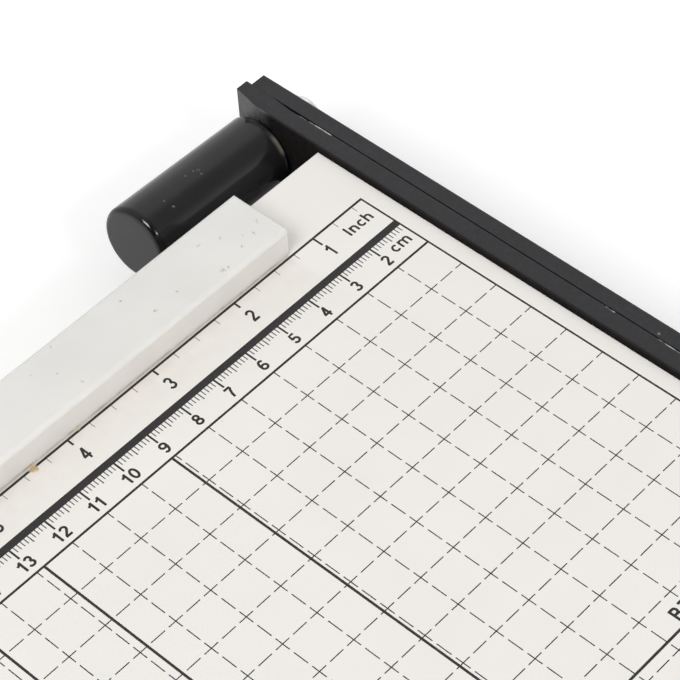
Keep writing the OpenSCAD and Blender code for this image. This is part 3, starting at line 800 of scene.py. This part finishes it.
def make_piece(name, verts, faces, material, body, slot, stands_for=(), crease=35.0):
    """A mesh object at the origin, welded, with its faces pointing outwards."""
    mesh = bpy.data.meshes.new(name)
    mesh.from_pydata(np.asarray(verts).tolist(), [], faces)
    weld(mesh, 1e-7, turn_out=True)
    dress(name, mesh, [material], body, stands_for, crease)


print("grid helpers ready")

# %% [markdown]
# The pivot spring is a helix. Its wire is a circle carried along the coil: the axes of the
# circle are the direction out from the coil's axis and the direction along it. A screw modifier
# could do it too, but the formula gives the exact length between the two seats.

# %% Pivot spring
spring_low, spring_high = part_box("pivot_spring")
spring_mid = (spring_low + spring_high) / 2
wire_r = 0.8 * MM
turns, steps, sides = 8, 28, 10


def coil():
    """x runs along the axis with the turn; y, z = (R + w cos b)(cos a, sin a), x gains w sin b."""
    coil_r = (spring_high.z - spring_low.z) / 2 - wire_r
    a = np.linspace(0, 2 * np.pi * turns, turns * steps + 1)[:, None]
    b = np.linspace(0, 2 * np.pi, sides, endpoint=False)[None]
    start, end = spring_low.x + wire_r, spring_high.x - wire_r
    x = start + (end - start) * a / a.max() + wire_r * np.sin(b)
    out = coil_r + wire_r * np.cos(b)
    return np.stack([x, spring_mid.y + out * np.sin(a), spring_mid.z - out * np.cos(a)], -1)


make_piece("coil_spring", *closed_tube(coil()), spring_wire,
           "arm", "spring_steel", ("pivot_spring",))

# %% [markdown]
# The pivot bolt has its head inside the housing, where the spring pushes on it, and a lock nut
# outside the arm. A hexagon's corners are turned off by a cone, as on any pressed bolt: the
# radius round it is a function of the angle and the height, the smaller of the hexagon's radius
# and the cone's. The shank is the same grid with a round radius.

# %% Pivot bolt
bolt_low, bolt_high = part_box("pivot_bolt")
head_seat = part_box("head_washer")[0].x
axis_mid = (bolt_low + bolt_high) / 2
across_flats, shank_r, tip_chamfer = 10.0 * MM, 3.0 * MM, 0.5 * MM
round_angle = np.linspace(0, 2 * np.pi, 96, endpoint=False)[None]
hexagon = across_flats / 2 / np.cos((round_angle + np.pi / 6) % (np.pi / 3) - np.pi / 6)


def turned_off(depth):
    """The smaller of the hexagon's radius and a cone that widens with depth below the end face."""
    return np.minimum(hexagon, across_flats * 0.475 + np.asarray(depth)[:, None] * math.sqrt(3))


def round_axis(along, radius):
    """x along the pivot's axis; y, z = axis + radius (sin a, cos a)."""
    y, z = axis_mid.y + radius * np.sin(round_angle), axis_mid.z + radius * np.cos(round_angle)
    return np.stack([along[:, None] + 0 * radius, y, z], -1)


into_head = np.append(np.linspace(0, 0.4, 7), [0.6, 1.0]) * (head_seat - bolt_low.x)
shank_x = np.array([head_seat, bolt_high.x - tip_chamfer, bolt_high.x])
shank = np.array([shank_r, shank_r, shank_r - tip_chamfer])[:, None] + 0 * round_angle
bolt_grid = round_axis(np.append(bolt_low.x + into_head, shank_x),
                       np.concatenate([turned_off(into_head), shank]))
make_piece("hinge_bolt", *closed_tube(bolt_grid), zinc, "arm", "zinc", ("pivot_bolt",), crease=25)

# %% [markdown]
# The lock nut's plain collar holds a ring that grips the thread. It is the bright round thing that
# just shows over the arm's far end in the photograph. Its profile runs up the outside and back
# down the bore, so the grid closes on itself.

# %% Lock nut
nut_low, nut_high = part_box("lock_nut")
nut_h = nut_high.x - nut_low.x
shoulder_h, collar_r, collar_round = nut_h * 0.75, 4.3 * MM, 0.9 * MM
up_hex = np.concatenate([np.linspace(0, 0.1, 4), np.linspace(0.9, 1.0, 4)]) * shoulder_h
bend_a = np.linspace(0, np.pi / 2, 8)
collar_h = np.concatenate([[shoulder_h], nut_h - collar_round * (1 - np.sin(bend_a)), [nut_h, 0.0]])
collar = np.concatenate([[collar_r], collar_r - collar_round * (1 - np.cos(bend_a)), [shank_r] * 2])
nut_radius = np.concatenate([turned_off(np.minimum(up_hex, shoulder_h - up_hex)),
                             collar[:, None] + 0 * round_angle])
nut_grid = round_axis(nut_low.x + np.append(up_hex, collar_h), nut_radius)
make_piece("collar_nut", *ringed(nut_grid, closed=True), zinc,
           "arm", "zinc", ("lock_nut",), crease=25)

# %% [markdown]
# Two kinds of piece here are turned: a profile of radius and height is carried round an axis.
# The spring housing's profile starts on the axis at the closed end, goes round the end's edge,
# along the wall, over the rim, and back down the bore. The edge is where the two soft boxes show
# as glints, so it gets many short steps.

# %% Spring housing
cup_wall, cup_end, cup_edge, cup_rim = 2.1 * MM, 2.0 * MM, 1.7 * MM, 1.0 * MM


def quarter(centre_r, centre_h, radius, start, end, steps=7):
    """Points of a round corner in the profile, from a start to an end angle in degrees."""
    a = np.radians(np.linspace(start, end, steps))
    return np.stack([centre_r + radius * np.cos(a), centre_h + radius * np.sin(a)], -1)


cup_profile = np.concatenate([
    np.array([[0.0, 0.0], [cup_r * 0.5, 0.0]]),
    quarter(cup_r - cup_edge, cup_edge, cup_edge, -90, 0, 15),
    quarter(cup_r - cup_rim, cup_span - cup_rim, cup_rim, 0, 90, 11),
    np.array([[cup_r - cup_wall, cup_span], [cup_r - cup_wall, cup_end], [0.0, cup_end]]),
])
around = np.linspace(0, 2 * np.pi, 128, endpoint=False)[None]
profile_r, profile_h = cup_profile[:, :1] + 0 * around, cup_profile[:, 1:] + 0 * around
make_piece("spring_cup", *ringed(on_cup(cup_span - profile_h, profile_r, around)), black_plastic,
           "base", "black_plastic", ("spring_housing",), crease=40)

# %% [markdown]
# A rubber foot has a full radius at the table, a small one at the board, a pocket for the screw's
# head and a hole through the web. Two rings are moulded into its wall. Its profile closes on
# itself, so the grid closes in both directions.

# %% Rubber feet
foot_pocket, foot_web, foot_hole, foot_taper = 5.2 * MM, 6.0 * MM, 1.8 * MM, 1.5 * MM
foot_round, foot_lip, ring_depth = 1.6 * MM, 0.5 * MM, 0.22 * MM


def turned_ring(profile, centre, steps=72):
    """x, y = centre + radius (cos a, sin a), z = height, for each point of a closed profile."""
    a = np.linspace(0, 2 * np.pi, steps, endpoint=False)[None]
    r, h = profile[:, :1], profile[:, 1:]
    points = np.stack([centre.x + r * np.cos(a), centre.y + r * np.sin(a), h + 0 * a], -1)
    return ringed(points, closed=True)


for corner in ("front_left", "front_right", "rear_left", "rear_right"):
    low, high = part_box("foot_" + corner)
    wide, tall = (high.x - low.x) / 2, high.z - low.z
    wall_h = np.linspace(foot_round, tall - foot_lip, 25)
    wall_r = wide - foot_taper * (1 - wall_h / tall)
    rings = ring_depth * (np.cos(wall_h / tall * 6 * np.pi) > 0.6)
    profile = np.concatenate([
        quarter(wide - foot_taper - foot_round, foot_round, foot_round, -90, 0),
        np.stack([wall_r - rings, wall_h], -1)[1:],
        quarter(wide - foot_lip, tall - foot_lip, foot_lip, 0, 90)[1:],
        np.array([[foot_hole, tall], [foot_hole, tall - foot_web],
                  [foot_pocket, tall - foot_web], [foot_pocket, 0.0]]),
    ])
    make_piece("rubber_foot_" + corner, *turned_ring(profile, (low + high) / 2), foot_rubber,
               "base", "rubber", ("foot_" + corner,), crease=40)

# %% [markdown]
# The board is screen printed. Ink lies on the paint, so each mark is a very thin closed body
# that stands a hair above the board. A straight mark is a box; a number is a pen stroke: a
# flat rectangle carried along the middle line of the figure. Where marks cross, one lies a layer
# of ink higher, so that no two tops share a plane.

# %% Straight marks
ink_proud, ink_sunk, ink_layer = 0.016, 0.01, 0.004


def bars(u0, u1, v0, v1, layer=0):
    """Boxes from u0 to u1 and v0 to v1: eight corners each, from the four limits as arrays."""
    u0, u1, v0, v1 = (np.atleast_1d(x).astype(float) for x in np.broadcast_arrays(u0, u1, v0, v1))
    u = np.stack([u0, u1, u1, u0, u0, u1, u1, u0], -1)
    v = np.stack([v0, v0, v1, v1, v0, v0, v1, v1], -1)
    h = np.array([-ink_sunk] * 4 + [ink_proud + layer * ink_layer] * 4)
    box = np.array([[0, 1, 2, 3], [7, 6, 5, 4], [0, 4, 5, 1],
                    [1, 5, 6, 2], [2, 6, 7, 3], [3, 7, 4, 0]])
    verts = on_board(u, v, h).reshape(-1, 3)
    faces = (box[None] + 8 * np.arange(len(u0))[:, None, None]).reshape(-1, 4)
    return verts, faces.tolist()


def centred(middle, width):
    """The two limits of a mark of a width about its middle."""
    return middle - width / 2, middle + width / 2


def printed(name, bodies, crease=35.0):
    """One piece of ink from many thin bodies."""
    make_piece(name, *gather(bodies), printing_ink, "base", "board_white", crease=crease)


border_u, left_u = 10.05, 250.0
top_v, low_v = -20.6, 280.0
bar_top, bar_low = -10.15, -8.25
rule, border_w, scale_w = 0.48, 0.60, 0.56
printed("print_frame", [
    bars(border_u - rule, border_u, top_v, low_v),
    bars(left_u, left_u + rule, top_v, low_v),
    bars(border_u, left_u, top_v, top_v + border_w, layer=2),
    bars(border_u, left_u, bar_top, bar_low, layer=2),
    bars(border_u, left_u, *centred(0.0, scale_w), layer=2),
    bars(border_u, left_u, low_v - rule, low_v),
])

# %% Dashed centimetre grid
dash, period, hair, dash_top = 3.9, 5.0, 0.25, 0.2
grid_u = np.arange(20.0, left_u, 10.0)
grid_v = np.arange(10.0, low_v, 10.0)
steps_v = np.arange(0.0, low_v, period)
steps_u = np.arange(10.0, left_u, period)
uu, vv = (places.ravel() for places in np.meshgrid(grid_u, steps_v))
start, end = centred(vv, dash)
down = bars(*centred(uu, hair), np.maximum(start, dash_top), np.minimum(end, low_v - rule))
uu, vv = (places.ravel() for places in np.meshgrid(steps_u, grid_v))
start, end = centred(uu, dash)
across = bars(np.maximum(start, border_u), np.minimum(end, left_u), *centred(vv, hair), layer=1)
printed("print_grid", [down, across])

# %% Ticks of the two scales
millimetres = np.arange(11, 250)
is_cm = millimetres % 10 == 0
is_half = (millimetres % 5 == 0) & ~is_cm
(cm_low, cm_w), (half_low, half_w), (mm_low, mm_w) = (-5.15, 0.47), (-6.1, 0.26), (-6.65, 0.22)
tick_top = -8.3
tick_low = np.where(is_cm, cm_low, np.where(is_half, half_low, mm_low))
tick_w = np.where(is_cm, cm_w, np.where(is_half, half_w, mm_w))
cm_ticks = bars(*centred(millimetres, tick_w), tick_top, tick_low)
inch, inch_zero = 25.4, 0.45
inch_w, quarter_w = 0.50, 0.13
inch_top, inch_low, first_low = -20.15, -18.35, -17.3
quarters = np.arange(2, 39)
tick_w = np.where(quarters % 4 == 0, inch_w, quarter_w)
tick_low = np.where(quarters == 4, first_low, inch_low)
inch_ticks = bars(*centred(inch_zero + quarters * inch / 4, tick_w), inch_top, tick_low)
printed("print_ticks", [cm_ticks, inch_ticks])

# %% Paper sizes
paper = {"B7": (91.0, 128.0), "B6": (128.0, 182.0), "A5": (148.0, 210.0), "B5": (182.0, 257.0),
         "A4": (210.0, 297.0)}
fence_front = -20.8
size_line = 0.6
sizes = np.array(list(paper.values()))
ends_v = sizes[:, 1] + fence_front
upright = bars(*centred(sizes[:, 0], size_line), 0.0, ends_v + size_line / 2, layer=3)
level_lines = bars(border_u, sizes[:, 0], *centred(ends_v, size_line), layer=4)
printed("print_paper_sizes", [upright, level_lines])

# %% [markdown]
# The figures are drawn with a pen of one width, as bold sign lettering is. Each figure is a few
# strokes given by lines and arcs in a box one unit high, with the base at zero. A text object
# could do it, but then the shape would hang on a font; strokes keep the board's own letters.

# %% Pen strokes of the figures
def arc(cx, cy, rx, ry, start, end, steps=18):
    """Points on an ellipse from a start angle to an end angle, in degrees."""
    a = np.radians(np.linspace(start, end, steps))
    return np.stack([cx + rx * np.cos(a), cy + ry * np.sin(a)], -1)


def run(*points):
    """A stroke through the given points."""
    return np.array(points, float)


def join(*strokes):
    """One stroke from several that follow each other."""
    return np.concatenate(strokes)


def ring(cx, cy, rx, ry, steps=28):
    """A whole ellipse."""
    return arc(cx, cy, rx, ry, 0, 360, steps)


def stem(x, height=1.0):
    """A straight stroke up from the base."""
    return run((x, 0.0), (x, height))


def arch(cx, cy, rx, ry):
    """Over the top from the left, then straight down to the base."""
    return join(arc(cx, cy, rx, ry, 175, 0, 12), run((cx + rx, 0.0)))


def bowl(x, cx, cy, rx, ry):
    """Out from a stem, round to the right and back to it."""
    return join(run((x, cy + ry)), arc(cx, cy, rx, ry, 90, -90, 12), run((x, cy - ry)))


six = [ring(0.325, 0.30, 0.235, 0.215), arc(0.345, 0.45, 0.255, 0.465, 186, 48)]
figures = {
    "0": (0.65, [ring(0.325, 0.5, 0.235, 0.415, 32)]),
    "1": (0.52, [stem(0.36), run((0.37, 0.93), (0.24, 0.78), (0.06, 0.69))]),
    "2": (0.65, [join(arc(0.325, 0.70, 0.225, 0.215, 168, -30), run((0.13, 0.14))),
                 run((0.05, 0.085), (0.60, 0.085))]),
    "3": (0.65, [arc(0.31, 0.715, 0.20, 0.20, 165, -88), arc(0.31, 0.295, 0.235, 0.21, 88, -165)]),
    "4": (0.65, [run((0.42, 0.94), (0.10, 0.33)), run((0.02, 0.30), (0.63, 0.30)), stem(0.44)]),
    "5": (0.65, [run((0.56, 0.915), (0.17, 0.915), (0.12, 0.47)),
                 arc(0.31, 0.315, 0.24, 0.23, 142, -160)]),
    "6": (0.65, six),
    "7": (0.65, [run((0.05, 0.915), (0.60, 0.915)),
                 run((0.57, 0.88), (0.42, 0.62), (0.31, 0.33), (0.27, 0.0))]),
    "8": (0.65, [ring(0.325, 0.725, 0.195, 0.19), ring(0.325, 0.29, 0.235, 0.205)]),
    "9": (0.65, [np.array([0.65, 1.0]) - stroke for stroke in six]),
    "c": (0.60, [arc(0.32, 0.36, 0.225, 0.285, 42, 318, 24)]),
    "m": (1.02, [stem(0.10, 0.72), arch(0.30, 0.45, 0.20, 0.19), arch(0.70, 0.45, 0.20, 0.19)]),
    "n": (0.66, [stem(0.10, 0.72), arch(0.31, 0.42, 0.21, 0.22)]),
    "h": (0.66, [stem(0.10), arch(0.31, 0.42, 0.21, 0.22)]),
    "I": (0.30, [stem(0.13)]),
    "A": (0.76, [run((0.04, 0.0), (0.38, 0.97), (0.72, 0.0)), run((0.16, 0.27), (0.60, 0.27))]),
    "B": (0.72, [stem(0.11), bowl(0.11, 0.38, 0.71, 0.17, 0.205),
                 bowl(0.11, 0.39, 0.295, 0.21, 0.21)]),
}
print("figures drawn:", len(figures))


# %% Carry the pen along the strokes
def pen_stroke(line, width, place, layer):
    """Offset the middle line by half the width to both sides, and give it the ink's thickness."""
    tangent = np.gradient(line, axis=0)
    tangent /= np.linalg.norm(tangent, axis=1, keepdims=True)
    side = np.stack([-tangent[:, 1], tangent[:, 0]], -1) * width / 2
    both = np.stack([line + side, line - side, line - side, line + side], 1)
    heights = np.repeat([ink_proud + layer * ink_layer, -ink_sunk], 2)
    u, v = place(both)
    return closed_tube(on_board(u, v, np.broadcast_to(heights, u.shape)))


def write(word, middle_u, base_v, height, stretch=1.0, pen=0.19, gap=0.13):
    """Strokes of a word, upright for a user at the near edge, centred on u with its base at v."""
    widths = [figures[letter][0] for letter in word]
    total = sum(widths) + gap * (len(word) - 1)
    start, bodies = 0.0, []
    for letter, width in zip(word, widths):
        for layer, stroke in enumerate(figures[letter][1]):
            def place(p, shift=start - total / 2):
                u = middle_u - (p[..., 0] + shift) * height * stretch
                return u, base_v - p[..., 1] * height

            bodies.append(pen_stroke(stroke, pen, place, layer))
        start += width + gap
    return bodies


cm_base, cm_height = -1.6, 3.1
inch_base, inch_height = -13.0, 3.65
label_up, label_height, label_right = 1.2, 3.3, 1.5
words = []
for number in range(2, 25):
    words += write(str(number), number * 10.0, cm_base, cm_height)
words += write("cm", 14.2, -3.0, cm_height, stretch=1.06, pen=0.165, gap=0.08)
for number in range(1, 10):
    middle = inch_zero + number * inch
    words += write(str(number), middle, inch_base, inch_height, stretch=0.88, pen=0.17)
words += write("Inch", 15.8, -14.2, 2.95, stretch=1.10, pen=0.175, gap=0.08)
for label, (wide, tall) in paper.items():
    middle, base = (wide + border_u) / 2 + label_right, tall + fence_front - label_up
    words += write(label, middle, base, label_height)
printed("print_figures", words, crease=80)
